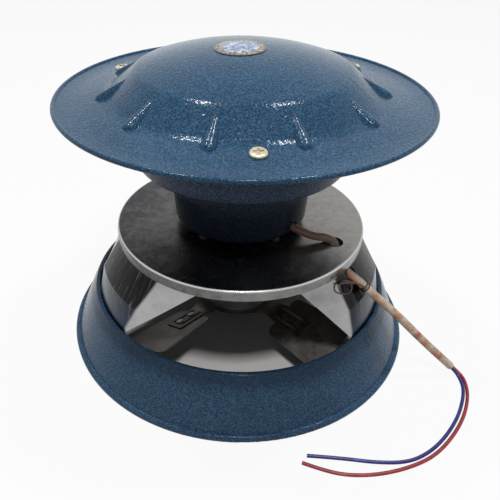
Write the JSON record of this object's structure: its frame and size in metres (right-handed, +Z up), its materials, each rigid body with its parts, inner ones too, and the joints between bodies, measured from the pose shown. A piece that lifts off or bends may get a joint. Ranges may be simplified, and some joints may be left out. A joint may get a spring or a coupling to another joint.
{
  "type": "chimney draught fan",
  "caption": "Flue-top draught fan: flared skirt, splayed strap legs, heat shield plate, motor drum under a ribbed domed rain cap, and a bladed impeller on the hanging shaft.",
  "frame": {"origin": "centre of the skirt's underside, on the fan's vertical axis", "axes": "+Z up along the motor shaft, -Y towards the front window between two legs, +X to the lead's side"},
  "size_m": [0.3464, 0.3294, 0.2484],
  "materials": {
    "cap_paint": "blue hammered enamel",
    "housing_paint": "blue hammered enamel, satin",
    "skirt_paint": "blue hammered enamel",
    "badge": "blank, printed with plain rings",
    "aluminised_steel": "bright, heat stained",
    "yellow_zinc": "yellow passivated zinc",
    "plain_steel": "plain",
    "impeller_steel": "dark, sooty",
    "hub_alloy": "as cast",
    "lamination": "laminated",
    "copper": "enamelled winding",
    "bronze": "sintered, oil filled",
    "sleeving": "varnished glass fibre",
    "blue_insulation": "silicone",
    "red_insulation": "silicone"
  },
  "bodies": {
    "stand": {"rain_cap": "cap_paint", "motor_housing": "housing_paint", "base_skirt": "skirt_paint", "top_badge": "badge", "heat_shield_plate": "aluminised_steel", "support_leg_1": "aluminised_steel", "support_leg_2": "aluminised_steel", "support_leg_3": "aluminised_steel", "cap_screws": "yellow_zinc", "cap_nuts": "yellow_zinc", "motor_studs": "plain_steel", "stud_nuts_lower": "plain_steel", "stud_nuts_upper": "plain_steel", "plate_spacers": "plain_steel", "tie_wire": "plain_steel", "motor_lower_shield": "hub_alloy", "motor_upper_shield": "hub_alloy", "motor_stator": "lamination", "motor_coils": "copper", "motor_lower_bearing": "bronze", "motor_upper_bearing": "bronze", "lead_sleeve": "sleeving", "lead_wire_blue": "blue_insulation", "lead_wire_red": "red_insulation"},
    "rotor": {"motor_shaft": "plain_steel", "motor_rotor": "lamination", "thrust_washers": "plain_steel", "impeller_hub": "hub_alloy", "hub_set_screw": "plain_steel", "hub_screws": "plain_steel", "impeller_spider": "impeller_steel", "impeller_blade_1": "impeller_steel", "impeller_blade_2": "impeller_steel", "impeller_blade_3": "impeller_steel", "impeller_blade_4": "impeller_steel", "impeller_rivets": "plain_steel"}
  },
  "joints": [
    {"name": "impeller_spin", "type": "hinge", "parent": "stand", "child": "rotor", "pos_m": [0, 0, 0.029], "axis": [0, 0, 1], "continuous": true}
  ]
}
